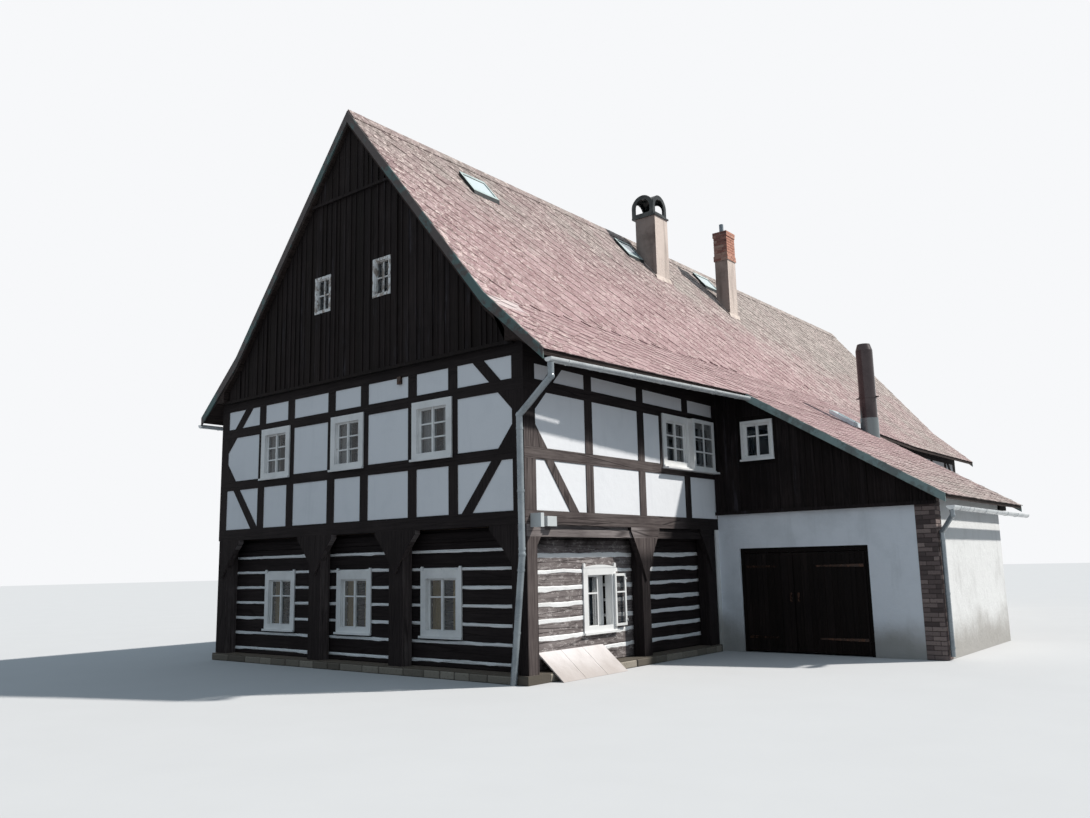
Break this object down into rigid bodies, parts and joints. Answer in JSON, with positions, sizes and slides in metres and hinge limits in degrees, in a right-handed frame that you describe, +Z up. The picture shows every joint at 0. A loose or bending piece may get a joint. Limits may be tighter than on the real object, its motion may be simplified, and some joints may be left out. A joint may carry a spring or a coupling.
{
  "type": "half timbered house",
  "caption": "Half timbered house on a log and post ground storey, with boarded gables, a steep kicked roof and a lean-to garage with two swinging leaves.",
  "frame": {"origin": "on the ground, at the middle of the front gable's face", "axes": "+X to the right along the gable as seen from in front, +Y back along the ridge, +Z up"},
  "size_m": [13.146, 23.3, 11.0954],
  "materials": {
    "stone": "rough field stone with lime mortar",
    "skirt_sheet": "pale weathered sheets",
    "log_wood": "hewn logs, dark stained and weathered",
    "mortar": "whitewashed lime mortar",
    "timber": "dark stained timber, weathered to brown grey in the sun",
    "plaster": "smooth whitewashed lime plaster",
    "render": "stained lime render",
    "floor_wood": "plain floor boards",
    "boarding": "upright boards, near black",
    "shingle": "faded reddish shingles with lichen",
    "verge_paint": "worn blue green paint",
    "brick": "worn red brick",
    "gate_wood": "rough dark boards",
    "window_paint": "white paint",
    "pane": "clear window glass",
    "curtain_cloth": "thin woven curtains",
    "chimney_render": "rough beige render",
    "black_sheet": "sooty painted sheet",
    "flue_sheet": "dark brown pipe",
    "zinc": "weathered galvanised sheet",
    "pipe_paint": "pale blue grey paint",
    "box_plastic": "pale grey plastic"
  },
  "bodies": {
    "house": {"plinth_front": "stone", "plinth_sides": "stone", "plinth_skirt": "skirt_sheet", "log_wall_front": "log_wood", "log_wall_right": "log_wood", "log_wall_left": "log_wood", "log_mortar": "mortar", "props_front": "timber", "props_right": "timber", "props_left": "timber", "masonry_right": "render", "masonry_left": "render", "masonry_back": "render", "ground_floor": "floor_wood", "upper_floor": "floor_wood", "attic_floor": "floor_wood", "frame_front": "timber", "frame_right": "timber", "frame_left": "timber", "frame_back": "timber", "infill_front": "plaster", "infill_right": "plaster", "infill_left": "plaster", "infill_back": "plaster", "attic_boards_front": "boarding", "attic_boards_back": "boarding", "roof_right": "shingle", "roof_left": "shingle", "ridge_cap": "shingle", "verge_boards": "verge_paint", "lean_roof": "shingle", "lean_boards": "boarding", "lean_pier_left": "render", "lean_pier_right": "render", "lean_lintel": "render", "brick_pier": "brick", "lean_side_wall": "render", "lean_back_wall": "render", "garage_frame": "gate_wood", "entry_door": "gate_wood", "windows_front": "window_paint", "windows_right": "window_paint", "windows_left": "window_paint", "windows_back": "window_paint", "window_glass": "pane", "chimney_rendered": "chimney_render", "chimney_hood": "black_sheet", "chimney_brick": "brick", "flue_pipe": "flue_sheet", "skylight_frames": "zinc", "gutters": "zinc", "downpipe": "pipe_paint", "meter_boxes": "box_plastic"},
    "leaf_left": {"garage_leaf_left": "gate_wood"},
    "leaf_right": {"garage_leaf_right": "gate_wood"}
  },
  "joints": [
    {"name": "leaf_left_hinge", "type": "hinge", "parent": "house", "child": "leaf_left", "pos_m": [4.504, 5.886, 0], "axis": [0, 0, -1], "range_deg": [0, 100]},
    {"name": "leaf_right_hinge", "type": "hinge", "parent": "house", "child": "leaf_right", "pos_m": [6.826, 5.886, 0], "axis": [0, 0, 1], "range_deg": [0, 100]}
  ]
}
